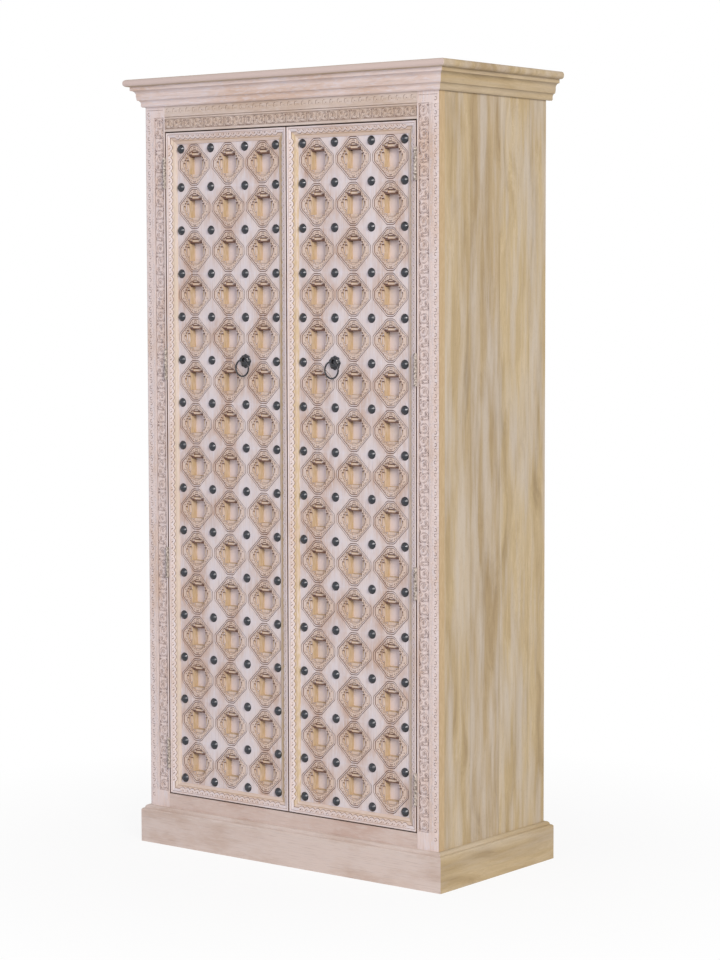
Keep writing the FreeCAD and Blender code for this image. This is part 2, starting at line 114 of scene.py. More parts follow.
def planed_wood(name, tones, wash, wash_most, grain_axis, board_axis, board_width, board_start,
                knots=(), limed_front=None):
    """Planed mango: soft tone bands along the grain, a tone for each board, pale wash, pores.

    The pores are drawn about four times their real width, so that they show.
    """
    material, tree, place = new_material(name)
    parts = add(tree, "ShaderNodeSeparateXYZ", {0: place})
    counted = add(tree, "ShaderNodeMath", {0: parts.outputs[board_axis], 1: 1 / board_width,
                                           2: -board_start / board_width}, operation="MULTIPLY_ADD")
    board = add(tree, "ShaderNodeMath", {0: counted}, operation="FLOOR")
    within = add(tree, "ShaderNodeMath", {0: counted}, operation="FRACT")
    chance = add(tree, "ShaderNodeTexWhiteNoise", {"W": board}, noise_dimensions="1D")
    shift = add(tree, "ShaderNodeVectorMath", {0: chance.outputs["Color"], 1: (700, 700, 700)},
                operation="MULTIPLY")
    own = add(tree, "ShaderNodeVectorMath", {0: place, 1: shift})
    bend = grain_marks(tree, own, grain_axis, 130, 420, 2.0)
    bent = add(tree, "ShaderNodeVectorMath", {0: bend, 1: (110, 110, 110)}, operation="MULTIPLY")
    grained = add(tree, "ShaderNodeVectorMath", {0: own, 1: bent})
    for centre, reach, swirl in knots:
        from_knot = add(tree, "ShaderNodeVectorMath", {0: place, 1: centre}, operation="SUBTRACT")
        drawn = add(tree, "ShaderNodeVectorMath", {0: from_knot, 1: reach}, operation="DIVIDE")
        far = add(tree, "ShaderNodeVectorMath", {0: drawn}, operation="LENGTH")
        pull = add(tree, "ShaderNodeMapRange", {0: far, 1: 1.0, 2: 0.0, 4: swirl})
        grained = add(tree, "ShaderNodeVectorMath", {0: grained, 1: pull})
    bands = grain_marks(tree, grained, grain_axis, 40, 460, 6.0)
    fine = grain_marks(tree, grained, grain_axis, 3.2, 170, 3.0)
    pores = grain_marks(tree, own, grain_axis, 0.9, 14, 2.0)
    cloud = grain_marks(tree, place, grain_axis, 34, 330, 3.0)
    tone = add(tree, "ShaderNodeValToRGB", {0: bands},
               stops=[(0.24, tones[0]), (0.42, tones[1]), (0.58, tones[2]), (0.78, tones[3])])
    streaks = laid_over(tree, tone, tones[0], fine, 0.35, 0.6, 0.2)
    boards = laid_over(tree, "#E6DFD8", "#FFFCF4", chance, 0.0, 1.0)
    toned = add(tree, "ShaderNodeMix", {0: 0.9, 6: streaks, 7: boards}, data_type="RGBA",
                blend_type="MULTIPLY")
    washed = laid_over(tree, toned, wash, cloud, 0.42, 0.66, wash_most)
    rim = add(tree, "ShaderNodeMath", {0: within, 1: 0.5}, operation="SUBTRACT")
    edge = add(tree, "ShaderNodeMath", {0: rim}, operation="ABSOLUTE")
    jointed = laid_over(tree, washed, tones[0], edge, 0.5 - 0.9 / board_width, 0.5 - 0.3 / board_width,
                        0.5)
    colour = laid_over(tree, jointed, tones[0], pores, 0.6, 0.72, 0.3, "MULTIPLY")
    if limed_front:
        rim_fade = 4.0
        colour = laid_over(tree, colour, "#DBCBC6", parts.outputs[1], limed_front + rim_fade, limed_front,
                           0.85)
    sheen = add(tree, "ShaderNodeMapRange", {0: bands, 1: -0.6, 2: 1.2})
    coated(tree, fine, 0.3, 0.0005, {"Base Color": colour, "Roughness": sheen,
                                     "Specular IOR Level": 0.22})
    return material


def paint(names, material):
    """Give CAD nodes a finish in place of their plain one."""
    for name in names:
        mesh = nodes[name].data
        mesh.materials.clear()
        mesh.materials.append(material)


x_axis, y_axis, z_axis = 0, 1, 2
side_tones = ("#9F8E70", "#BFAE8D", "#CFC0A0", "#DCD0BA")
inner_tones = ("#9A835F", "#AE9772", "#BDA682", "#CCB896")
side_knots = [((461, 85, 1795), (500, 75, 150), 46.0), ((461, -65, 205), (500, 60, 120), 40.0),
              ((461, 20, 905), (500, 50, 160), -24.0)]
# Waxed upright boards: soft fawn bands that bend round faint knots, under a thin milky wash
side_wood = planed_wood("waxed_mango_upright_boards", side_tones, "#CEC7BC", 0.7, z_axis, y_axis,
                        board_width=122.0, board_start=-206.5, knots=side_knots)
# Waxed mouldings, each cut from one length: the same fawn with its grain run along
side_rail_wood = planed_wood("waxed_mango_moulding", side_tones, "#D2CABD", 0.4, y_axis, y_axis,
                             board_width=2000.0, board_start=-1000.0)
# Waxed top boards, with the lime of the cornice carried a little over their front edge
top_wood = planed_wood("waxed_mango_top_boards", side_tones, "#D2C8BC", 0.5, x_axis, y_axis,
                       board_width=126.0, board_start=-250.0, limed_front=-248.5)
# Planed and left bare: the warmer brown of mango that has had neither wax nor light
shelf_wood = planed_wood("planed_mango_shelf", inner_tones, "#C4B59F", 0.25, x_axis, y_axis,
                         board_width=128.0, board_start=-160.0)
back_wood = planed_wood("planed_mango_back", inner_tones, "#C4B59F", 0.25, z_axis, x_axis,
                        board_width=97.6, board_start=-439.0)
paint(["left_side_panel", "right_side_panel"], side_wood)
paint(["floor_board", "inner_top_board", "lower_shelf", "middle_shelf", "upper_shelf",
       "left_shelf_cleats", "right_shelf_cleats"], shelf_wood)
paint(["left_back_board", "middle_back_board", "right_back_board"], back_wood)


# Face frame
# Two stiles and two rails of mango around the door opening, planed, carved on the front with a
# running vine between sunk lines, then limewashed and rubbed back, so the recesses stay warm.
def relief(name, lines, place, holes=()):
    """A carved skin through lines of (across, along, depth, wear) points, with a wear value on each."""
    plan, values, edges = [], [], []
    for points, closed in lines:
        first = len(plan)
        plan += [Vector(point[:2]) for point in points]
        values += [point[2:] for point in points]
        edges += [(first + i, first + (i + 1) % len(points))
                  for i in range(len(points) if closed else len(points) - 1)]
    same_spot = 1e-4
    spots, _, faces, sources, _, _ = geometry.delaunay_2d_cdt(plan, edges, [], 0, same_spot)
    known = {i: values[source[0]] for i, source in enumerate(sources) if source}
    near = {i: [] for i in range(len(spots)) if i not in known}
    for face in faces:
        for i in face:
            if i in near:
                near[i] += [known[j] for j in face if j in known]
    for i, around in near.items():
        known[i] = [sum(value[k] for value in around) / len(around) for k in range(2)]
    kept = []
    for face in faces:
        middle = sum((spots[i] for i in face), Vector((0, 0))) / len(face)
        if not any(geometry.intersect_point_tri_2d(middle, *corners) for corners in holes):
            kept.append(face)
    mesh = bpy.data.meshes.new(name)
    mesh.from_pydata([place(*spots[i], known[i][0]) * MM for i in range(len(spots))], [], kept)
    mesh.attributes.new("wear", "FLOAT", "POINT").data.foreach_set(
        "value", [known[i][1] for i in range(len(spots))])
    return mesh


def at_depth(points, depth, wear, closed=True):
    """A line of the relief that keeps one depth and one wear."""
    return [(u, v, depth, wear) for u, v in points], closed


def ridge(path, width, foot, top, top_wear_and_shade=-0.3, rings=((0.0, 1.1), (0.5, 0.25))):
    """A tapered ridge along a path: a bright spine, a stained line at its foot, then the ground."""
    spots = [Vector(spot) for spot in path]
    last = len(spots) - 1
    lines = [at_depth(path[1:last], top, top_wear_and_shade, closed=False)]
    for spread, wear in rings:
        sides = {1: [], -1: []}
        for i in range(1, last):
            run = (spots[i + 1] - spots[i - 1]).normalized()
            half = width / 2 * math.sqrt(math.sin(math.pi * (0.15 + 0.7 * i / last))) + spread
            for side in sides:
                sides[side].append(tuple(spots[i] + Vector((-run.y, run.x)) * half * side))
        first_tip = tuple(spots[0] + (spots[0] - spots[1]).normalized() * spread)
        last_tip = tuple(spots[last] + (spots[last] - spots[last - 1]).normalized() * spread)
        lines.append(at_depth([first_tip] + sides[1] + [last_tip] + sides[-1][::-1], foot, wear))
    return lines


def cut(path, width, depth, wear=1.0):
    """A tapered cut along a path into the face."""
    return ridge(path, width, 0.0, depth, wear, ((0.0, 0.1),))


def bud(centre, radius, foot, top, sides=7, foot_wear=1.0, top_wear_and_shade=-0.3):
    """A small round knob, or pit, with its crown at the top depth."""
    turns = [2 * math.pi * i / sides for i in range(sides)]
    rim, crown = ([(centre[0] + reach * math.cos(t), centre[1] + reach * math.sin(t)) for t in turns]
                  for reach in (radius, radius * 0.5))
    return [at_depth(rim, foot, foot_wear), at_depth(crown, top, top_wear_and_shade)]


def moved(lines, across_scale=1.0, along_scale=1.0, across=0.0, along=0.0):
    """The same lines, scaled and then shifted in the plane of the relief."""
    return [([(u * across_scale + across, v * along_scale + along, depth, wear)
              for u, v, depth, wear in points], closed) for points, closed in lines]


def scroll(centre, first_radius, last_radius, first_turn, sweep, count):
    """Points of a curl about a centre, from one radius and turn, in degrees, through a sweep."""
    points = []
    for i in range(count):
        turn = math.radians(first_turn + sweep * i / (count - 1))
        radius = first_radius + (last_radius - first_radius) * i / (count - 1)
        points.append((centre[0] + radius * math.cos(turn), centre[1] + radius * math.sin(turn)))
    return points


vine_period = 86.0


def vine(foot):
    """A period of the running scrolls: an eye, an S-scroll with leaves, a paisley."""
    eye, paisley = (0.4, 15.0), (-1.6, 70.0)
    broad = [
        scroll((0.0, 15.0), 11.7, 10.6, 150, -292, 15),
        [(-9.5, 32.8), (-11.6, 37.0), (-9.0, 41.4), (-3.5, 43.0), (2.5, 42.6), (8.0, 44.2),
         (11.0, 48.6), (9.0, 53.2), (3.6, 54.2), (0.4, 50.6)],
        scroll(paisley, 11.0, 9.2, 236, 292, 15)]
    slim = [
        scroll(eye, 6.7, 2.9, -40, 330, 12), scroll(paisley, 5.4, 2.2, 10, 330, 10),
        [(-3.4, 32.6), (2.0, 35.8), (8.6, 36.6), (12.6, 34.2)],
        [(-13.2, 46.6), (-9.0, 48.0), (-6.2, 51.4), (-6.0, 55.2)],
        [(13.1, 60.5), (13.5, 68.0), (13.1, 76.0)]]
    knobs = [(12.6, 2.6), (-12.6, 2.6), (-12.9, 28.0), (-5.0, 37.4), (4.6, 48.6), (-13.0, 58.4),
             (12.8, 83.2), (-12.8, 83.2), (13.0, 40.6)]
    lines = bud(eye, 1.5, foot, 0.2) + bud(paisley, 1.2, foot, 0.2)
    for path in broad:
        lines += ridge(path, 2.8, foot, 0.1)
    for path in slim:
        lines += ridge(path, 2.0, foot, 0.3)
    for spot in knobs:
        lines += bud(spot, 1.3, foot, 0.5)
    return lines


def uprights(profile, start, end):
    """The lines of a profile of (across, depth, wear) points carried from start to end."""
    return [([(u, start, depth, wear), (u, end, depth, wear)], False) for u, depth, wear in profile]


def stand(name, data):
    """A new object in the scene."""
    made = bpy.data.objects.new(name, data)
    bpy.context.scene.collection.objects.link(made)
    return made


def grown(tree, inputs):
    """The plain mesh that a tree of geometry nodes gives for these inputs, meshes among them."""
    shapes = {label: bpy.data.objects.new(label, value) for label, value in inputs.items()
              if isinstance(value, bpy.types.Mesh)}
    holder = stand(tree.name, bpy.data.meshes.new(tree.name))
    modifier = holder.modifiers.new(tree.name, "NODES")
    modifier.node_group = tree
    for socket in tree.interface.items_tree:
        if socket.in_out == "INPUT":
            modifier[socket.identifier] = shapes.get(socket.name, inputs[socket.name])
    evaluated = holder.evaluated_get(bpy.context.evaluated_depsgraph_get())
    mesh = bpy.data.meshes.new_from_object(evaluated)
    holder.modifiers.remove(modifier)
    for used in [holder, *shapes.values()]:
        bpy.data.objects.remove(used)
    return mesh


def new_tree(name, inputs):
    """A geometry tree with these named inputs and one geometry output, and its input sockets."""
    tree = bpy.data.node_groups.new(name, "GeometryNodeTree")
    for label, kind in inputs.items():
        tree.interface.new_socket(label, in_out="INPUT", socket_type="NodeSocket" + kind)
    tree.interface.new_socket("Geometry", in_out="OUTPUT", socket_type="NodeSocketGeometry")
    return tree, add(tree, "NodeGroupInput").outputs


carving, given = new_tree("carved_repeat", {
    "Tile": "Object", "Ends": "Object", "Columns": "Int", "Rows": "Int",
    "Column step": "Vector", "Row step": "Vector", "Finish": "Material"})
weld_reach = 0.02 * MM
index = add(carving, "GeometryNodeInputIndex")
column = add(carving, "ShaderNodeMath", {0: index, 1: given["Columns"]}, operation="FLOORED_MODULO")
divided = add(carving, "ShaderNodeMath", {0: index, 1: given["Columns"]}, operation="DIVIDE")
row = add(carving, "ShaderNodeMath", {0: divided}, operation="FLOOR")
sideways = add(carving, "ShaderNodeVectorMath", {0: given["Column step"], "Scale": column},
               operation="SCALE")
upwards = add(carving, "ShaderNodeVectorMath", {0: given["Row step"], "Scale": row}, operation="SCALE")
tile_place = add(carving, "ShaderNodeVectorMath", {0: sideways, 1: upwards})
tile_count = add(carving, "ShaderNodeMath", {0: given["Columns"], 1: given["Rows"]},
                 operation="MULTIPLY")
tile_points = add(carving, "GeometryNodePoints", {"Count": tile_count, "Position": tile_place})
tile_shape = add(carving, "GeometryNodeObjectInfo", {"Object": given["Tile"]})
tiles = add(carving, "GeometryNodeInstanceOnPoints", {"Points": tile_points,
                                                      "Instance": tile_shape.outputs["Geometry"]})
end_shape = add(carving, "GeometryNodeObjectInfo", {"Object": given["Ends"]})
whole = add(carving, "GeometryNodeJoinGeometry", {0: tiles})
carving.links.new(end_shape.outputs["Geometry"], whole.inputs[0])
solid_tiles = add(carving, "GeometryNodeRealizeInstances", {0: whole})
welded = add(carving, "GeometryNodeMergeByDistance", {0: solid_tiles, "Distance": weld_reach})
finished = add(carving, "GeometryNodeSetMaterial", {0: welded, "Material": given["Finish"]})
add(carving, "NodeGroupOutput", {0: finished})


def joined(meshes):
    """Several skins as one mesh, each with its wear."""
    whole = bpy.data.meshes.new("joined")
    verts, faces, wear = [], [], []
    for mesh in meshes:
        faces += [[len(verts) + i for i in face.vertices] for face in mesh.polygons]
        verts += [vert.co for vert in mesh.vertices]
        wear += [item.value for item in mesh.attributes["wear"].data]
    whole.from_pydata(verts, [], faces)
    whole.attributes.new("wear", "FLOAT", "POINT").data.foreach_set("value", wear)
    return whole


def carved(tile, ends, material, rows, row_step, columns=1, column_step=(0, 0, 0)):
    """A carved face from one tile repeated, with its plain ends."""
    return grown(carving, {
        "Tile": tile, "Ends": joined(ends), "Columns": columns, "Rows": rows,
        "Column step": tuple(Vector(column_step) * MM), "Row step": tuple(Vector(row_step) * MM),
        "Finish": material})


def written(solid, mesh=None):
    """A mesh from a bmesh, which is freed."""
    mesh = mesh or bpy.data.meshes.new("piece")
    solid.to_mesh(mesh)
    solid.free()
    return mesh


carving_crease = math.radians(38)
fine_reach = 0.001 * MM


def backed(mesh, back_y, steps, back_wear=None):
    """Carry a skin's rim back in steps, fill any gap left at the back, and turn faces outwards."""
    solid = bmesh.new()
    solid.from_mesh(mesh)
    rim = [edge for edge in solid.edges if edge.is_boundary
           and min(vert.co.y for vert in edge.verts) < back_y * MM - fine_reach]
    for step in steps:
        made = bmesh.ops.extrude_edge_only(solid, edges=rim)["geom"]
        for vert in made:
            if isinstance(vert, bmesh.types.BMVert):
                vert.co = step(vert.co / MM) * MM
        rim = [edge for edge in made if isinstance(edge, bmesh.types.BMEdge) and edge.is_boundary]
    if back_wear is not None:
        worn = solid.verts.layers.float["wear"]
        for vert in {vert for edge in rim for vert in edge.verts}:
            vert[worn] = back_wear
    bmesh.ops.remove_doubles(solid, verts=solid.verts, dist=2 * fine_reach)
    rim = [edge for edge in solid.edges if edge.is_boundary]
    if rim:
        bmesh.ops.triangle_fill(solid, use_beauty=True, edges=rim)
    bmesh.ops.recalc_face_normals(solid, faces=solid.faces)
    written(solid, mesh)
    mesh.set_sharp_from_angle(angle=carving_crease)
    return mesh


def at_y(y):
    """A step straight back to one plane."""
    return lambda spot: Vector((spot.x, y, spot.z))


def mirrored(mesh):
    """The left-hand copy of a right-hand mesh."""
    copy = mesh.copy()
    copy.transform(Matrix.Scale(-1, 4, (1, 0, 0)))
    copy.flip_normals()
    return copy


def show(name, mesh, node, body, slot_name="whitewashed_wood"):
    """Stand a mesh in for a CAD node on a body."""
    piece = stand(name, mesh)
    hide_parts(node)
    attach(piece, body)


def show_pair(name, mesh, node, body, *slot_name):
    """Right and left copies of a piece; body is carcass, or door or ring for the side's own."""
    for side, copy in (("right", mesh), ("left", mirrored(mesh))):
        side_body = "carcass" if body == "carcass" else side + "_" + body
        show(side + "_" + name, copy, side + "_" + node, side_body, *slot_name)


def limewashed(name, grain_axis, wash="#E2D4CF", bare="#D6BFAF", stain_and_shade="#6B4E42", raw="#CDB18C",
               worn="#DAC7AF", halo="#E2E2EB", wash_low=0.34, wash_high=0.54):
    """Limewash rubbed back on mango: chalky pink-white faces, warm patches, dark lines in cuts.

    Wear below nought is the whitest lime, one a stained line, two raw wood and three worn ochre.
    Near one it is also painted shade: the same dark stain laid under the upper edges of openings.
    The grain lines are drawn a few times wider than real ones, so that they show.
    """
    material, tree, place = new_material(name)
    cloud = grain_marks(tree, place, grain_axis, 60, 190, 4.0)
    fleck = grain_marks(tree, place, grain_axis, 4.5, 22, 4.0)
    grain = grain_marks(tree, place, grain_axis, 1.6, 60, 3.0)
    wear = add(tree, "ShaderNodeAttribute", attribute_name="wear").outputs["Fac"]
    patched = laid_over(tree, bare, wash, cloud, wash_low, wash_high)
    flecked = laid_over(tree, patched, halo, fleck, 0.5, 0.66, 0.45)
    grained = laid_over(tree, flecked, stain_and_shade, grain, 0.54, 0.74, 0.28)
    haloed = laid_over(tree, grained, halo, wear, 0.0, -1.25)
    uneven = add(tree, "ShaderNodeMath", {0: wear, 1: fleck}, operation="ADD")
    stained = laid_over(tree, haloed, stain_and_shade, uneven, 0.8, 1.5, 0.9)
    raw_wood = laid_over(tree, raw, worn, fleck, 0.42, 0.64, 0.6)
    sawn = laid_over(tree, stained, raw_wood, wear, 1.4, 1.9)
    rubbed_ochre = laid_over(tree, worn, patched, fleck, 0.42, 0.62, 0.7)
    colour = laid_over(tree, sawn, rubbed_ochre, wear, 2.05, 2.9)
    chalk = add(tree, "ShaderNodeMapRange", {0: fleck, 1: -1.0, 2: 1.0, 4: 0.95})
    coated(tree, fleck, 0.3, 0.0006, {"Base Color": colour, "Roughness": chalk,
                                      "Specular IOR Level": 0.3})
    return material


# Pieces with upright grain: cool chalky white, buff where it is rubbed, brown in every cut
limed_upright = limewashed("limewashed_mango_upright", z_axis, wash="#E6D9D5", bare="#DAC5B7",
                           raw="#C2AB86", worn="#D1BD9B")
# Hinge sides of the doors: the same white with paler, greyer wood on the slope, which is painted
# # shade: it stands in for the cool shade on the right door's hinge slope, turned from the lamp
hinge_side_shaded_lime = limewashed("limewashed_mango_hinge_side", z_axis, wash="#E6D9D5", bare="#DAC5B7",
                              raw="#C9B79C", worn="#DACCBC")
# Pieces with level grain: the same lime, a little warmer
limed_across = limewashed("limewashed_mango_across", x_axis, worn="#D9C6B7")
recess = 2.2
stile_low, stile_high = (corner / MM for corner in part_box("right_front_stile"))
stile_carving_start, stile_carving_end = 138.0, 1852.0
stile_tile_count = 20
stile_tile_length = (stile_carving_end - stile_carving_start) / stile_tile_count
bead_count, curl_count = 12, 6
rightward, upward = Vector((1, 0, 0)), Vector((0, 0, 1))


def on_face(corner, across, along):
    """Gives places on a carved front: across and along it from a corner, and back by the depth."""
    return lambda u, v, depth: corner + across * u + along * v + Vector((0, depth, 0))


stile_edge = [(0.0, 0.9, 1.1), (1.0, 0.0, -0.2)]
stile_profile = stile_edge + [
    (4.0, 0.0, -0.2), (4.7, recess, 1.0), (5.3, recess, 0.3), (34.7, recess, 0.3), (35.3, recess, 1.0),
    (36.0, 0.0, -0.2), (37.5, 0.0, -0.2), (38.3, 1.1, 1.0), (39.1, 0.0, -0.1), (42.7, 0.0, -0.1),
    (43.5, 1.1, 1.0), (44.3, 0.0, -0.1), (63.8, 0.0, -0.2), (65.0, 0.9, 2.0)]


def small_flower(u, v, reach, depth):
    """Four petal cuts around a spot."""
    lines = []
    for i in range(4):
        out = Vector((math.cos(math.pi * (i / 2 + 0.25)), math.sin(math.pi * (i / 2 + 0.25))))
        path = [tuple(Vector((u, v)) + out * reach * share) for share in (0.3, 0.6, 1.0)]
        lines += cut(path, reach * 0.5, depth, 0.8)
    return lines


outer_curl_u = 54.0


def outer_curl(v, first_turn):
    """A curl cut into the outer band of the stile."""
    return cut(scroll((outer_curl_u, v), 5.4, 2.0, first_turn, 320, 10), 2.4, 1.1, 1.2)


def stile_tile_lines(length):
    """A tile of the stile: moulded edges, a period of the vine, beads and curls."""
    lines = uprights(stile_profile, 0.0, length)
    lines += moved(vine(recess), along_scale=length / vine_period, across=20.0)
    for i in range(bead_count):
        v = (i + 0.5) * length / bead_count
        lines += cut([(40.9, v - 1.9), (40.9, v), (40.9, v + 1.9)], 1.9, 0.8)
    for i in range(curl_count):
        v = (i + 0.5) * length / curl_count
        lines += outer_curl(v, 200 + 180 * (i % 2))
        for u in (47.0, 61.4):
            lines += bud((u, v + 5.2), 1.2, 0.0, 0.8, 5, 0.1, 1.0)
    return lines


end_wall, end_lip = 0.6, 1.3


def stile_end(edge, far, across_line):
    """A plain end of a stile past the carving's square edge: a curl, and on top a flower and a line."""
    step = 1 if far > edge else -1
    plain = stile_edge + [(63.8, 0.0, -0.2), (65.0, 0.9, 2.0)]
    lines = [([(u, edge, depth, wear) for u, depth, wear in stile_profile], False)]
    lines += uprights(plain, edge, far)
    lines.append(([(u, edge + end_wall * step, recess, 1.0) for u in (4.7, 35.3)], False))
    lines.append(([(u, edge + end_lip * step, 0.0, 0.0)
                   for u in (4.0, 20.0, 36.0, 37.5, 39.1, 42.7, 44.3, 63.8)], False))
    if step > 0:
        for v, depth in ((-0.8, 0.0), (0.0, 1.0), (0.8, 0.0)):
            lines.append(([(u, across_line + v, depth, depth) for u in (5.0, 60.0)], False))
        lines += small_flower(20.0, across_line - 11.0, 6.0, 0.9)
    lines += outer_curl(across_line - 9.0, 200)
    return relief("end", lines, on_face(stile_low, rightward, upward))


stile_tile = relief("stile_tile", stile_tile_lines(stile_tile_length),
                    on_face(stile_low + upward * stile_carving_start, rightward, upward))
stile_mesh = carved(stile_tile, [stile_end(stile_carving_start, stile_low.z, 133.0),
                                 stile_end(stile_carving_end, stile_high.z, 1872.0)],
                    limed_upright, stile_tile_count, (0, 0, stile_tile_length))
show_pair("front_stile_carved", backed(stile_mesh, stile_high.y, [at_y(stile_high.y)]), "front_stile",
          "carcass")

rail_low, rail_high = (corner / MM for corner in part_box("top_front_rail"))
rail_tile_count = 12
rail_tile_length = (rail_high.x - rail_low.x) / rail_tile_count
rail_vine_scale = 0.79
key_count = 3
rail_profile = [
    (0.0, 0.9, 0.0), (1.0, 0.0, 0.0), (5.6, 0.0, -0.2), (6.3, recess, 1.0), (6.8, recess, 0.15),
    (31.2, recess, 0.15), (31.7, recess, 1.0), (32.4, 0.0, -0.2), (35.4, 0.0, -0.2), (36.6, 1.5, 1.1),
    (37.8, 0.0, -0.2), (60.0, 0.0, 0.0), (rail_high.z - rail_low.z, 0.0, 0.0)]


def rail_tile_lines(length):
    """A tile of the top rail: moulded edges, a period of the vine, and key cuts above it."""
    lines = uprights(rail_profile, 0.0, length)
    lines += moved(vine(recess), rail_vine_scale, length / vine_period, across=19.0)
    for i in range(key_count):
        v = (i + 0.5) * length / key_count
        lines += cut([(43.5, v - 6.0), (49.0, v - 6.2), (55.4, v - 6.0), (57.2, v - 3.0),
                      (57.2, v + 3.5)], 2.5, 1.3)
        lines += cut([(44.0, v - 1.2), (47.0, v - 1.6), (51.0, v - 1.2)], 2.0, 1.1)
        lines += cut([(46.0, v + 7.6), (50.0, v + 7.2), (54.5, v + 7.6)], 1.8, 1.0)
        lines += bud((50.6, v + 2.6), 1.6, 0.0, 1.0, 6, 0.1, 1.0)
    return lines


rail_tile = relief("rail_tile", rail_tile_lines(rail_tile_length), on_face(rail_low, upward, rightward))
# The rail under the cornice: lime rubbed thinner, so greyer and browner
limed_rail = limewashed("limewashed_mango_rail_rubbed_back", x_axis, wash="#D8CBC1", bare="#C8B5A4",
                        halo="#DED5D2")
rail_mesh = carved(rail_tile, [], limed_rail, rail_tile_count, (rail_tile_length, 0, 0))
show("top_front_rail_carved", backed(rail_mesh, rail_high.y, [at_y(rail_high.y)]), "top_front_rail",
     "carcass")
# The rail by the feet: scuffed, so its lime is duller and a little pink
limed_low_rail = limewashed("limewashed_mango_rail_scuffed", x_axis, wash="#D5C5BC", bare="#C9B2A6",
                            halo="#DCD1CC")
paint(["bottom_front_rail"], limed_low_rail)


# Plinth, cornice moulding and top board
# Solid mango, run to a profile and mitred at the corners. The front lengths are limewashed like
# the face frame, and the side lengths are waxed like the side panels.
paint(["cornice_front_moulding"], limed_across)
paint(["left_plinth_board", "right_plinth_board", "left_cornice_side_moulding",
       "right_cornice_side_moulding"], side_rail_wood)
paint(["back_plinth_board"], back_wood)
paint(["top_board"], top_wood)
# Lime scuffed at foot height: greyer, with less chalk left on it
limed_plinth = limewashed("limewashed_mango_plinth", x_axis, wash="#D9CCC4", bare="#CAB8AC",
                          halo="#DAD0CB")
paint(["front_plinth_board"], limed_plinth)


# Door frames
# Four mitred mango members to a door. The face slopes down to the panel and carries a sunk band
# with a wavy stem and leaf chips, cut by hand before the frame was glued and limewashed.
door_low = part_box("right_door_meeting_stile")[0] / MM
door_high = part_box("right_door_hinge_stile")[1] / MM
frame_face = 28.5
frame_lap = 7.0
panel_recess = 12.0
meeting_relief = 3.2
door_front_y, door_back_y = stile_low.y, door_high.y
chip_recess = 1.3
chip_length = 16.5
frame_lip_width = 3.0
carved_band_width, carved_band_drop = 16.0, 6.0
inner_slope_width, inner_slope_drop = frame_face - frame_lip_width - carved_band_width, 4.2


def frame_base(u):
    """The depth of the sloping face at a distance from the outer edge."""
    past_lip = u - frame_lip_width
    past_band = past_lip - carved_band_width
    if past_lip <= 0:
        return 0.0
    if past_band <= 0:
        return carved_band_drop * past_lip / carved_band_width
    return carved_band_drop + inner_slope_drop * past_band / inner_slope_width


frame_profile = [
    (0.0, 0.8, 1.1), (0.9, 0.0, -0.3), (3.0, 0.0, -0.3), (4.6, 0.0, 0.0), (5.3, 0.8, 1.0),
    (6.0, 0.0, -0.4), (19.4, chip_recess, 3.0), (20.1, chip_recess + 0.4, 1.4), (20.8, 0.0, 2.0),
    (21.9, 0.0, 3.0), (frame_face, 0.0, 3.0)]
scallop_steps = [(0.0, 0.0, -0.5), (0.7, chip_recess, 1.2), (1.4, chip_recess, 1.2),
                 (1.8, chip_recess, 2.9)]
wave_start, wave_reach, wave_points = 11.6, 4.8, 12


def chip_tile_lines(length):
    """A tile of the carved band: one scallop of the wavy stem, with two leaf chips inside it."""
    lines = uprights(frame_profile, 0.0, length)
    for offset, depth, wear in scallop_steps:
        wave = [(wave_start + offset + wave_reach * math.sin(math.pi * i / wave_points) ** 0.8,
                 length * i / wave_points) for i in range(wave_points + 1)]
        lines.append(at_depth(wave, depth, wear, closed=False))
    for leaf in ([(7.8, 1.2), (8.2, 4.6), (10.4, 6.6), (13.0, 8.6)],
                 [(7.6, 9.2), (8.8, 11.8), (10.6, 13.4)]):
        lines += cut(leaf, 3.0, 1.7, 1.2)
    return lines


def mitre_ends(length, place):
    """The mitred triangles at the ends of a member, with its profile run out to the diagonal."""
    meshes = []
    seam = sorted(frame_profile + [(wave_start + offset, depth, wear)
                                   for offset, depth, wear in scallop_steps])
    for edge, step in ((frame_face, 1), (length - frame_face, -1)):
        lines = [([(u, edge, depth, wear) for u, depth, wear in seam], False)]
        for u, depth, wear in seam[:-1]:
            lines += uprights([(u, depth, wear)], edge, edge + step * (u - frame_face))
        meshes.append(relief("mitre", lines, place))
    return meshes


mitre_slack = 0.01


def door_member(corner, across, along, length, relieved):
    """One mitred member: across points from the door's edge inwards, along from end to end.

    Its back is carried in under the panel's edge, round the groove and out to the door's back.
    """
    def place(u, v, depth):
        return (Vector((corner[0], door_front_y + frame_base(u) + depth, corner[1]))
                + across * u + along * v)

    run = length - 2 * frame_face
    count = round(run / chip_length)
    tile = relief("chip_tile", chip_tile_lines(run / count),
                  lambda u, v, depth: place(u, v + frame_face, depth))
    # Hinge-side members take the lime whose greyer slope is painted shade
    upright = limed_upright if relieved else hinge_side_shaded_lime
    material = upright if abs(along.z) > 0.5 else limed_across
    mesh = carved(tile, mitre_ends(length, place), material, count, along * (run / count))

    def where(spot):
        from_corner = spot - Vector((corner[0], 0, corner[1]))
        return from_corner.dot(across), from_corner.dot(along)

    def to_panel(spot):
        u, v = where(spot)
        return place(u, v, panel_recess - frame_base(u))

    def to_rebate(spot):
        u, v = where(spot)
        inner = min(u, frame_face - frame_lap)
        if min(v, length - v) < u + mitre_slack:
            v = inner if v < length / 2 else length - inner
        return place(inner, v, panel_recess - frame_base(inner))

    def to_back(spot):
        u, v = where(spot)
        back = place(u, v, door_back_y - door_front_y - frame_base(u))
        back.x = max(back.x, door_low.x + meeting_relief) if relieved else back.x
        return back

    return backed(mesh, door_back_y, [to_panel, to_rebate, to_back], 0.2)


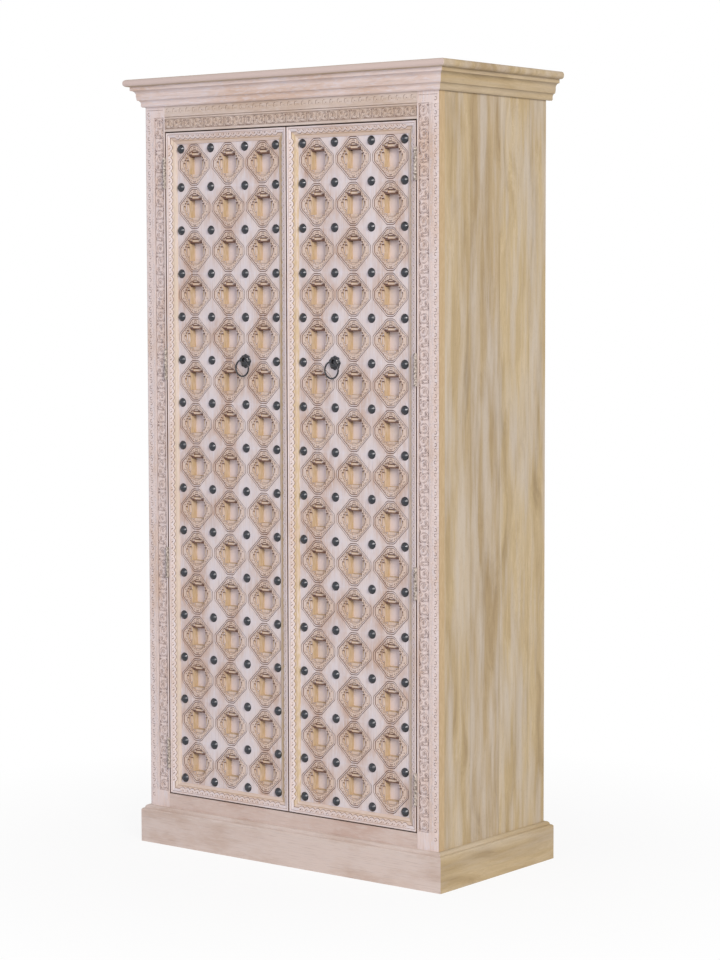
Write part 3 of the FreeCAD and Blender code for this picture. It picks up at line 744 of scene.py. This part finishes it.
door_width, door_height = door_high.x - door_low.x, door_high.z - door_low.z
members = {
    "door_hinge_stile": ((door_high.x, door_low.z), -rightward, upward, door_height, False),
    "door_meeting_stile": ((door_low.x, door_low.z), rightward, upward, door_height, True),
    "door_top_rail": ((door_low.x, door_high.z), -upward, rightward, door_width, True),
    "door_bottom_rail": ((door_low.x, door_low.z), upward, rightward, door_width, True),
}
for node, measures in members.items():
    show_pair(node + "_carved", door_member(*measures), node, "door")


# Pierced lattice panels
# One mango panel to a door, drawn out in squares, pierced through and stepped back by chisel.
# Double cut lines leave a flat lozenge round each crossing, and leaf curls fill the rest.
column_count, row_count = 3, 15
lattice_left, lattice_right = door_low.x + frame_face, door_high.x - frame_face
lattice_bottom, lattice_top = door_low.z + frame_face, door_high.z - frame_face
lattice_face_y = door_front_y + panel_recess
lattice_back_y = (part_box("right_door_backing_board")[0] / MM).y
panel_thickness = lattice_back_y - lattice_face_y
column_pitch = (lattice_right - lattice_left) / column_count
row_pitch = (lattice_top - lattice_bottom) / row_count
opening_rise = 2.5
line_rise = 1.6
line_quarter = [(52.3, 8.0), (50.4, 11.8), (42.0, 19.5), (31.0, 30.3), (20.5, 40.5), (16.5, 45.0),
                (13.6, 48.2), (8.5, 51.2)]
step_quarter = [(37.0, 5.5), (33.0, 5.5), (33.0, 12.6), (29.4, 12.6), (29.4, 18.5), (24.6, 18.5),
                (24.6, 28.2), (17.6, 28.2), (17.6, 32.0), (12.4, 32.0), (12.4, 34.4), (6.0, 34.4),
                (6.0, 37.2)]
cross_quarter = [(28.5, 11.7), (22.4, 11.7), (22.4, 25.6), (11.6, 25.6), (11.6, 31.8)]
hole_quarter = [(22.4, 25.6)]


def four_ways(quarter, scale=1.0, drawn_in=0.0, top_drawn=0.0, rise=0.0):
    """A closed outline from its quarter, scaled, or drawn in on every side and more at the top."""
    lower = [(u * scale - drawn_in, v * scale - drawn_in) for u, v in quarter]
    upper = [(u, v - top_drawn) for u, v in lower]
    above = upper + [(-u, v) for u, v in reversed(upper)]
    below = [(-u, -v) for u, v in lower] + [(u, -v) for u, v in reversed(lower)]
    return [(u, v + rise) for u, v in above + below]


# Lengths in mm over which the painted shade of an upper edge runs out along the walls that meet it
upper_edge_start, upper_edge_end = 2.6, 1.6


def opening_loop(quarter, drawn_in, top_drawn, depth, wear, top_wear_and_shade):
    """A loop round the opening whose upper edges slope more and take their own value;
    near one that value is painted shade, a dark stain where the upper edges cast their shadow.
    """
    split = []
    for i, (u, v) in enumerate(quarter):
        before = quarter[i - 1] if i else (u, 0.0)
        if before[0] == u:
            split.append((u, v - upper_edge_start, wear))
        split.append((u, v, top_wear_and_shade))
        if i + 1 < len(quarter) and quarter[i + 1][0] == u:
            split.append((u, v + upper_edge_end, wear))
    outline = four_ways([spot[:2] for spot in split], 1.0, drawn_in, top_drawn, opening_rise)
    loop_wear_and_shade = [spot[2] for spot in split]
    loop_wear_and_shade += loop_wear_and_shade[::-1] + [wear] * (2 * len(split))
    return [(u, v, depth, worn) for (u, v), worn in zip(outline, loop_wear_and_shade)], True


def in_each_quarter(lines):
    """The same marks in all four quarters of the cell."""
    return [line for u in (1, -1) for v in (1, -1) for line in moved(lines, u, v)]


def cell_rim(depth, corner_wear):
    """The square edge of a cell, whose corners lie under the studs."""
    half_u, half_v = column_pitch / 2, row_pitch / 2
    rim = [(-half_u, -half_v), (0, -half_v), (half_u, -half_v), (half_u, 0), (half_u, half_v),
           (0, half_v), (-half_u, half_v), (-half_u, 0)]
    return [(u, v, depth, corner_wear if u and v else 0.0) for u, v in rim], True


ground, ledge, pocket = 1.7, 4.0, 7.4
back_opening = (hole_quarter, 1.3, 5.0, panel_thickness, 2.0, 1.3)
curl_rings = ((0.0, 1.3), (0.4, 1.0), (0.7, 2.95))
quarter_curls = [
    [(36.4, 9.6), (39.6, 10.2), (42.2, 7.4)], [(31.6, 18.9), (33.8, 18.1), (35.6, 15.4)],
    [(26.8, 24.2), (28.4, 22.8), (29.8, 20.6)], [(19.6, 32.4), (20.8, 31.6), (22.0, 31.0)],
    [(14.2, 37.8), (15.8, 36.4), (16.6, 34.4)], [(8.6, 41.0), (10.6, 39.4), (11.0, 36.6)]]
arch = [(-5.4, 39.8), (-3.2, 42.2), (0.0, 43.0), (3.2, 42.2), (5.4, 39.8)]


def cell_lines():
    """The front of a cell: its rim, the double line, the stepped opening, and the leaf curls."""
    lines = [cell_rim(0.0, -1.0)]
    for scale, depth, wear in ((1.021, 0.0, 0.0), (1.01, 1.8, 1.2), (0.987, 1.8, 1.2),
                               (0.974, 0.0, -0.2), (0.936, 0.0, -0.2), (0.923, 2.0, 1.2),
                               (0.898, 2.2, 1.2), (0.891, ground, 2.95)):
        lines.append(at_depth(four_ways(line_quarter, scale, rise=line_rise), depth, wear))
    # Each: quarter, drawn in, more so at the top, depth, wear, wear of the upper edges; where that
    #     # last is near one it is painted shade, dark stain where the upper edges cast their shadow
    for loop in ((step_quarter, -0.4, -0.4, ground, 2.95, 2.95),
                 (step_quarter, 0.0, 0.0, ground - 0.7, -0.6, -0.6),
                 (step_quarter, 0.3, 0.4, ground, 1.2, 1.2),
                 (step_quarter, 0.7, 1.6, ledge, 2.9, 1.3),
                 (cross_quarter, 0.0, 0.0, ledge, -0.5, 0.0),
                 (cross_quarter, 0.3, 0.5, ledge + 0.6, 1.2, 1.3),
                 (cross_quarter, 0.7, 2.2, pocket, 2.8, 1.3),
                 (hole_quarter, 0.9, 2.2, pocket, 2.95, 1.2),
                 (hole_quarter, 1.1, 4.6, pocket + 0.5, 2.0, 1.3), back_opening):
        lines.append(opening_loop(*loop))
    marks = []
    for curl in quarter_curls:
        marks += in_each_quarter(ridge(curl, 1.3, ground, 0.4, rings=curl_rings))
    for turn in (1, -1):
        marks += moved(ridge(arch, 1.7, ground, 0.4, rings=curl_rings), along_scale=turn)
    return lines + moved(marks, along=line_rise)


cell_place = on_face(Vector((lattice_left + column_pitch / 2, lattice_face_y,
                             lattice_bottom + row_pitch / 2)), rightward, upward)
hole_loop = opening_loop(*back_opening)
hole_heights = [spot[1] for spot in hole_loop[0]]
hole_foot, hole_head = min(hole_heights), max(hole_heights)
hole_side = max(spot[0] for spot in hole_loop[0])
low_left, low_right, high_right, high_left = (Vector(corner) for corner in (
    (-hole_side, hole_foot), (hole_side, hole_foot), (hole_side, hole_head), (-hole_side, hole_head)))
hole = [(low_left, low_right, high_right), (high_right, high_left, low_left)]
# Lime kept on the flat lozenges and rubbed off the leaf ground, over the darkest cuts of all;
# # the same dark stain is also the painted shade under the openings' upper edges
limed_lattice = limewashed("limewashed_carved_lattice", z_axis, wash="#E0D5D2", bare="#C9B0A0",
                           stain_and_shade="#63402F", raw="#C6AF8C", worn="#DBC9BB", wash_low=0.37,
                           wash_high=0.56)
cell = joined([relief("cell", cell_lines(), cell_place, hole),
               relief("cell_back", [cell_rim(panel_thickness, 0.0), hole_loop], cell_place, hole)])


def to_tongue(spot):
    """Out under the frame's lip on all four sides."""
    out_x = (spot.x > lattice_right - 1) - (spot.x < lattice_left + 1)
    out_z = (spot.z > lattice_top - 1) - (spot.z < lattice_bottom + 1)
    return spot + Vector((out_x, 0, out_z)) * frame_lap


def to_panel_edge(spot):
    """Back in from the tongue to the edge of the carving."""
    return Vector((min(max(spot.x, lattice_left), lattice_right), spot.y,
                   min(max(spot.z, lattice_bottom), lattice_top)))


lattice_mesh = carved(cell, [], limed_lattice, row_count, (0, 0, row_pitch), column_count,
                      (column_pitch, 0, 0))
lattice_mesh = backed(lattice_mesh, lattice_back_y, [to_tongue, at_y(lattice_back_y), to_panel_edge])
show_pair("lattice_carved", lattice_mesh, "lattice_panel", "door")
# A thin board brushed white all over, which shows through the piercings as an even pale grey
limed_backing = limewashed("limewashed_backing_board", z_axis, wash="#EBE1E2", bare="#E4D9D3",
                           stain_and_shade="#CBB9B2", halo="#E9E0E5")
paint(["left_door_backing_board", "right_door_backing_board"], limed_backing)


# Studs
# Large iron clavos with forged domed heads, blued dark in the fire and driven through the lattice
# # where its lines cross, their heads a little turned.
def bridged(rings, closed=False):
    """A mesh over rings of points, each joined to the next; a ring of one point closes an end."""
    solid = bmesh.new()
    loops = [[solid.verts.new(spot) for spot in ring] for ring in rings]
    for lower, higher in zip(loops, loops[1:] + (loops[:1] if closed else [])):
        for i in range(max(len(lower), len(higher))):
            corners = (lower[i % len(lower)], lower[(i + 1) % len(lower)],
                       higher[(i + 1) % len(higher)], higher[i % len(higher)])
            solid.faces.new(list(dict.fromkeys(corners)))
    bmesh.ops.recalc_face_normals(solid, faces=solid.faces)
    return written(solid)


def turned(profile, sides, closed=False, lobes=0, lobe_depth=0.0):
    """A round mesh in mm from (radius, height) points about its z axis; lobes wave its radius."""
    turns = [2 * math.pi * i / sides for i in range(sides)]
    waves = [1 - lobe_depth * (0.5 - 0.5 * math.cos(lobes * turn)) for turn in turns]
    return bridged([[(radius * wave * math.cos(turn), radius * wave * math.sin(turn), height)
                     for turn, wave in zip(turns, waves)] if radius else [(0, 0, height)]
                    for radius, height in profile], closed)


def worn_metal(name, dark, mid, bright, metallic, roughness, specular, sheen, patch):
    """Old metal: a mottled tone, duller in patches this many mm across, and small hammer marks.

    Blued, rusted or limed steel shows its skin, so only plating is given as metallic.
    """
    material, tree, place = new_material(name)
    broad = add(tree, "ShaderNodeTexNoise", {"Vector": place, "Scale": 1 / patch, "Detail": 3.0})
    small = add(tree, "ShaderNodeTexNoise", {"Vector": place, "Scale": 1 / 1.4, "Detail": 2.0})
    tone = add(tree, "ShaderNodeValToRGB", {0: broad}, stops=[(0.35, dark), (0.55, mid), (0.75, bright)])
    rough = add(tree, "ShaderNodeMapRange", {0: broad, 1: 0.3, 2: 0.7, 3: roughness - 0.08,
                                             4: roughness + 0.12})
    coated(tree, small, 0.35, 0.0004, {
        "Base Color": tone, "Metallic": metallic, "Roughness": rough, "Specular IOR Level": specular,
        "Specular Tint": sheen})
    return material


heading, given = new_tree("heads_on_places", {
    "Places": "Object", "Head": "Object", "Axis": "Vector", "Most turn": "Float", "Seed": "Int",
    "Finish": "Material"})
head_places = add(heading, "GeometryNodeObjectInfo", {"Object": given["Places"]})
head_shape = add(heading, "GeometryNodeObjectInfo", {"Object": given["Head"]})
least_turn = add(heading, "ShaderNodeMath", {0: given["Most turn"], 1: -1.0}, operation="MULTIPLY")
chance = add(heading, "FunctionNodeRandomValue", {2: least_turn, 3: given["Most turn"],
                                                  "Seed": given["Seed"]}, data_type="FLOAT")
head_turn = add(heading, "FunctionNodeAxisAngleToRotation", {"Axis": given["Axis"], "Angle": chance})
heads = add(heading, "GeometryNodeInstanceOnPoints", {
    "Points": head_places.outputs["Geometry"], "Instance": head_shape.outputs["Geometry"],
    "Rotation": head_turn})
real_heads = add(heading, "GeometryNodeRealizeInstances", {0: heads})
finished = add(heading, "GeometryNodeSetMaterial", {0: real_heads, "Material": given["Finish"]})
add(heading, "NodeGroupOutput", {0: finished})
metal_crease = math.radians(40)


def facing(mesh, out):
    """Turn a mesh so that its z axis points out, and bring it to metres."""
    mesh.transform(Matrix.Scale(MM, 4) @ Vector(out).to_track_quat("Z", "Y").to_matrix().to_4x4())
    return mesh


def heads_on(places, head, axis, material, most_turn, seed):
    """One mesh of a head set on each place, each turned a little about the axis."""
    spots = bpy.data.meshes.new("places")
    spots.from_pydata([Vector(place) * MM for place in places], [], [])
    mesh = grown(heading, {"Places": spots, "Head": head, "Axis": axis, "Most turn": most_turn,
                           "Seed": seed, "Finish": material})
    mesh.set_sharp_from_angle(angle=metal_crease)
    return mesh


# Iron blued in the fire: near black with a cold bright glint on the crown of each head
blued_iron = worn_metal("fire_blued_iron", "#08090B", "#101216", "#22211F", metallic=0.0,
                        roughness=0.27, specular=0.88, sheen="#E2E8F6", patch=9.0)
stud_radius, stud_height = 11.4, 9.0
stud_profile = [(0, -0.6), (stud_radius, -0.6), (stud_radius, 0.6), (10.6, 1.8), (8.9, 3.8),
                (6.2, 6.6), (4.4, 7.9), (2.4, 8.7), (0, stud_height)]
stud_inset = 12.5
pull_row, pull_column = 10, 1


def crossings(start, pitch, count):
    """Where the lattice's lines cross, the first and last drawn in from the door's frame."""
    places = [start + pitch * k for k in range(count + 1)]
    places[0] += stud_inset
    places[-1] -= stud_inset
    return places


stud_columns = crossings(lattice_left, column_pitch, column_count)
stud_rows = crossings(lattice_bottom, row_pitch, row_count)
stud_places = [(x, lattice_face_y, z) for k, z in enumerate(stud_rows)
               for i, x in enumerate(stud_columns) if (k, i) != (pull_row, pull_column)]
stud_head = facing(turned(stud_profile, sides=16), (0, -1, 0))
stud_mesh = heads_on(stud_places, stud_head, (0, 1, 0), blued_iron, most_turn=3.1, seed=7)
show_pair("iron_studs", stud_mesh, "door_studs", "door", "antique_iron")


# Ring pulls
# A domed iron boss chased as a flower, with a forged eye that the twisted ring hangs in. Both are
# nearly black, browner in patches, and polished by the hands that have held them.
handled_iron = worn_metal("hand_worn_iron", "#0F0F12", "#19191C", "#322E2A", metallic=0.0,
                          roughness=0.22, specular=0.8, sheen="#E6EBF6", patch=7.0)
boss_place = Vector((stud_columns[pull_column], lattice_face_y, stud_rows[pull_row]))
eye_place = boss_place + Vector((0, -14.0, 4.0))
boss_profile = [(0, -0.4), (17.6, -0.4), (17.8, 0.9), (16.6, 2.0), (14.2, 2.2), (13.4, 3.4),
                (11.6, 6.0), (9.2, 7.9), (7.6, 8.0), (6.4, 8.9), (3.2, 9.6), (0, 9.8)]
boss_mesh = facing(turned(boss_profile, sides=48, lobes=8, lobe_depth=0.1), (0, -1, 0))
boss_mesh.transform(Matrix.Translation(boss_place * MM))
eye_radius, eye_sides = 5.1, 10
eye_section = [(eye_radius + 1.3 * math.cos(2 * math.pi * i / eye_sides),
                3.9 * math.sin(2 * math.pi * i / eye_sides)) for i in range(eye_sides)]
eye_mesh = facing(turned(eye_section, sides=20, closed=True), (1, 0, 0))
eye_mesh.transform(Matrix.Translation(eye_place * MM))


def merged(meshes, material):
    """Several closed meshes as one, in one finish."""
    whole = bmesh.new()
    for mesh in meshes:
        whole.from_mesh(mesh)
    bmesh.ops.recalc_face_normals(whole, faces=whole.faces)
    made = written(whole)
    made.materials.append(material)
    made.polygons.foreach_set("use_smooth", [True] * len(made.polygons))
    made.set_sharp_from_angle(angle=metal_crease)
    return made


show_pair("pull_boss_chased", merged([boss_mesh, eye_mesh], handled_iron), "ring_pull_boss", "door",
          "antique_iron")

ring_place = eye_place - Vector((0, 0, 21.0))
ring_radius, ring_turns, ring_steps = 20.4, 7, 84
strand_count, bar_radius, strand_relief, bar_sides = 3, 2.05, 0.3, 12


def twisted_ring():
    """A ring forged from three strands, its section turning as it goes round."""
    loops = []
    for i in range(ring_steps):
        around = 2 * math.pi * i / ring_steps
        loop = []
        for j in range(bar_sides):
            turn = 2 * math.pi * j / bar_sides
            waved = bar_radius + strand_relief * math.cos(strand_count * (turn + ring_turns * around))
            out = ring_radius + waved * math.cos(turn)
            loop.append((ring_place + Vector((out * math.cos(around), waved * math.sin(turn),
                                              out * math.sin(around)))) * MM)
        loops.append(loop)
    return bridged(loops, closed=True)


show_pair("pull_ring_twisted", merged([twisted_ring()], handled_iron), "pull_ring", "ring",
          "antique_iron")


# Hinges and catches
# Four steel butt hinges to a door: turned five-knuckle barrels on a loose pin, leaves let into the
# wood with screws, all daubed with limewash; and a zinc-plated magnetic catch with its strike.
hinge_middles = [237.0, 728.0, 1233.1, 1714.0]
hinge_length, knuckle_count, knuckle_gap = 78.0, 5, 0.4
knuckle_length = (hinge_length - (knuckle_count - 1) * knuckle_gap) / knuckle_count
hinge_x, hinge_y = 394.5, -213.9
leaf_width, leaf_thickness, leaf_corner = 28.0, 1.2, 4.0
screw_places = ((11.0, -28.0), (19.0, -9.5), (11.0, 9.5), (19.0, 28.0))
opening_x, door_x = stile_low.x, door_high.x
knuckle_profile = [(1.6, 0.0), (3.2, 0.0), (3.95, 0.8), (3.95, knuckle_length - 0.8),
                   (3.2, knuckle_length), (1.6, knuckle_length)]
screw_profile = [(0, -0.3), (3.1, -0.3), (3.1, 0.0), (2.6, 0.12), (0.9, 0.12), (0.7, -0.1), (0, -0.1)]
# Steel under brushed lime: a mottled pale grey, brown where the lime has come off
limed_steel = worn_metal("limewashed_steel", "#5A5149", "#BDB3AA", "#E6E0DA", metallic=0.0,
                         roughness=0.45, specular=0.67, sheen="#FFFFFF", patch=4.0)
# Zinc plating: an even light grey metal with a soft shine
plated_steel = worn_metal("zinc_plated_steel", "#8F8F8C", "#ABABA8", "#C4C4C2", metallic=1.0,
                          roughness=0.3, specular=0.5, sheen="#FFFFFF", patch=15.0)


def leaf(x, out_x, middle):
    """A hinge leaf with round corners at its back edge."""
    outline = [(0.0, -hinge_length / 2), (0.0, hinge_length / 2)]
    corner_z = hinge_length / 2 - leaf_corner
    for turn_from, centre_z in ((90, corner_z), (0, -corner_z)):
        outline += scroll((leaf_width - leaf_corner, centre_z), leaf_corner, leaf_corner, turn_from, -90, 5)
    solid = bmesh.new()
    face = solid.faces.new([solid.verts.new(Vector((x, door_front_y + y, middle + z)) * MM)
                            for y, z in outline])
    made = bmesh.ops.extrude_face_region(solid, geom=[face])["geom"]
    shift = [vert for vert in made if isinstance(vert, bmesh.types.BMVert)]
    bmesh.ops.translate(solid, verts=shift, vec=Vector((out_x, 0, 0)) * MM)
    return written(solid)


def hinge_half(first, leaf_x, out_x):
    """The knuckles, leaves and screws of one half of all four hinges."""
    knuckles = [(hinge_x, hinge_y, middle - hinge_length / 2 + k * (knuckle_length + knuckle_gap))
                for middle in hinge_middles for k in range(first, knuckle_count, 2)]
    screws = [(leaf_x, door_front_y + y, middle + z) for middle in hinge_middles
              for y, z in screw_places]
    knuckle = facing(turned(knuckle_profile, sides=14, closed=True), (0, 0, 1))
    screw = facing(turned(screw_profile, sides=12), (-out_x, 0, 0))
    parts = [heads_on(knuckles, knuckle, (0, 0, 1), limed_steel, most_turn=0.4, seed=3),
             heads_on(screws, screw, (1, 0, 0), limed_steel, most_turn=3.1, seed=5)]
    return merged(parts + [leaf(leaf_x, out_x, middle) for middle in hinge_middles], limed_steel)


show_pair("hinge_frame_knuckles", hinge_half(0, opening_x - leaf_thickness, leaf_thickness),
          "hinge_frame_halves", "carcass", "limed_hinge")
show_pair("hinge_door_knuckles", hinge_half(1, door_x + leaf_thickness, -leaf_thickness),
          "hinge_door_halves", "door", "limed_hinge")
pin_profile = [(0, 0), (1.2, 0), (1.45, 0.4), (1.45, hinge_length - 0.4), (1.2, hinge_length),
               (0, hinge_length)]
pin_places = [(hinge_x, hinge_y, middle - hinge_length / 2) for middle in hinge_middles]
pins = heads_on(pin_places, facing(turned(pin_profile, sides=12), (0, 0, 1)), (0, 0, 1), limed_steel,
                most_turn=0.0, seed=1)
show_pair("hinge_pins_turned", pins, "hinge_pins", "carcass", "limed_hinge")
paint(["left_magnetic_catch", "right_magnetic_catch", "left_strike_plate", "right_strike_plate"],
      plated_steel)


# Camera and studio
# A white studio with a warm soft lamp on the viewer's right, which rakes across the carving and
# reaches the left walls of the piercings, and a weak cool one in front. The lens is a long one.
camera_place = Vector((3968.7, -4994.3, 1428.3)) * MM
camera_turn = math.radians(38.03)
camera_tilt = math.radians(4.35)
camera_roll = math.radians(-0.118)
lens_length = 95.44
film_height = 36.0
camera = stand("camera", bpy.data.cameras.new("camera"))
camera.data.sensor_fit = "VERTICAL"
camera.data.sensor_height = film_height
camera.data.lens = lens_length
camera.matrix_world = (Matrix.Translation(camera_place) @ Matrix.Rotation(camera_turn, 4, "Z")
                       @ Matrix.Rotation(math.pi / 2 - camera_tilt, 4, "X")
                       @ Matrix.Rotation(camera_roll, 4, "Z"))
bpy.context.scene.camera = camera
bpy.context.scene.view_settings.view_transform = "Standard"


def area_lamp(name, place, aim, size, watts, code):
    """A square soft lamp aimed at a point."""
    lamp = stand(name, bpy.data.lights.new(name, "AREA"))
    lamp.data.size = size
    lamp.data.energy = watts
    lamp.data.color = linear(code)[:3]
    lamp.location = place
    lamp.rotation_euler = (Vector(aim) - Vector(place)).to_track_quat("-Z", "Y").to_euler()


area_lamp("key_lamp", (8.6, -6.25, 5.0), aim=(0, 0, 1.0), size=4.2, watts=860, code="#FFF5E8")
area_lamp("front_lamp", (-1.6, -5.2, 2.2), aim=(0, 0, 0.9), size=2.4, watts=34, code="#F1EEFF")


def seen_as_white(tree):
    """A share of one on the rays that show the studio itself, in mirrors and glass too."""
    path = add(tree, "ShaderNodeLightPath")
    seen = add(tree, "ShaderNodeMath", {0: path.outputs["Is Camera Ray"],
                                        1: path.outputs["Is Glossy Ray"]}, operation="MAXIMUM")
    return add(tree, "ShaderNodeMath", {0: seen, 1: path.outputs["Is Transmission Ray"]},
               operation="MAXIMUM")


world = bpy.data.worlds.new("studio")
world.use_nodes = True
bpy.context.scene.world = world
tree = world.node_tree
tree.nodes.clear()
soft = add(tree, "ShaderNodeBackground", {"Color": "#EFEEFC", "Strength": 0.38})
bright = add(tree, "ShaderNodeBackground", {"Color": "#FFFFFF", "Strength": 1.0})
world_mix = add(tree, "ShaderNodeMixShader", {0: seen_as_white(tree), 1: soft, 2: bright})
add(tree, "ShaderNodeOutputWorld", {"Surface": world_mix})

floor_half = 6.0
floor_mesh = bpy.data.meshes.new("floor")
floor_mesh.from_pydata([(-floor_half, -floor_half, 0), (floor_half, -floor_half, 0),
                        (floor_half, floor_half, 0), (-floor_half, floor_half, 0)], [], [(0, 1, 2, 3)])
floor = stand("floor", floor_mesh)
# Matt white studio floor: a faint share of the cabinet's soft shadow near it, pure white farther off
floor_paint, tree, place = new_material("matt_white_studio_floor")
far = add(tree, "ShaderNodeVectorMath", {0: place}, operation="LENGTH")
bright_share = add(tree, "ShaderNodeMapRange", {0: far, 1: 550.0, 2: 1500.0, 3: 0.9, 4: 1.0})
share = add(tree, "ShaderNodeMath", {0: seen_as_white(tree), 1: bright_share}, operation="MULTIPLY")
matt = add(tree, "ShaderNodeBsdfDiffuse", {"Color": "#F4F3F2"})
white = add(tree, "ShaderNodeEmission", {"Color": "#FFFFFF", "Strength": 1.0})
mixed = add(tree, "ShaderNodeMixShader", {0: share, 1: matt, 2: white})
add(tree, "ShaderNodeOutputMaterial", {"Surface": mixed})
floor_mesh.materials.append(floor_paint)
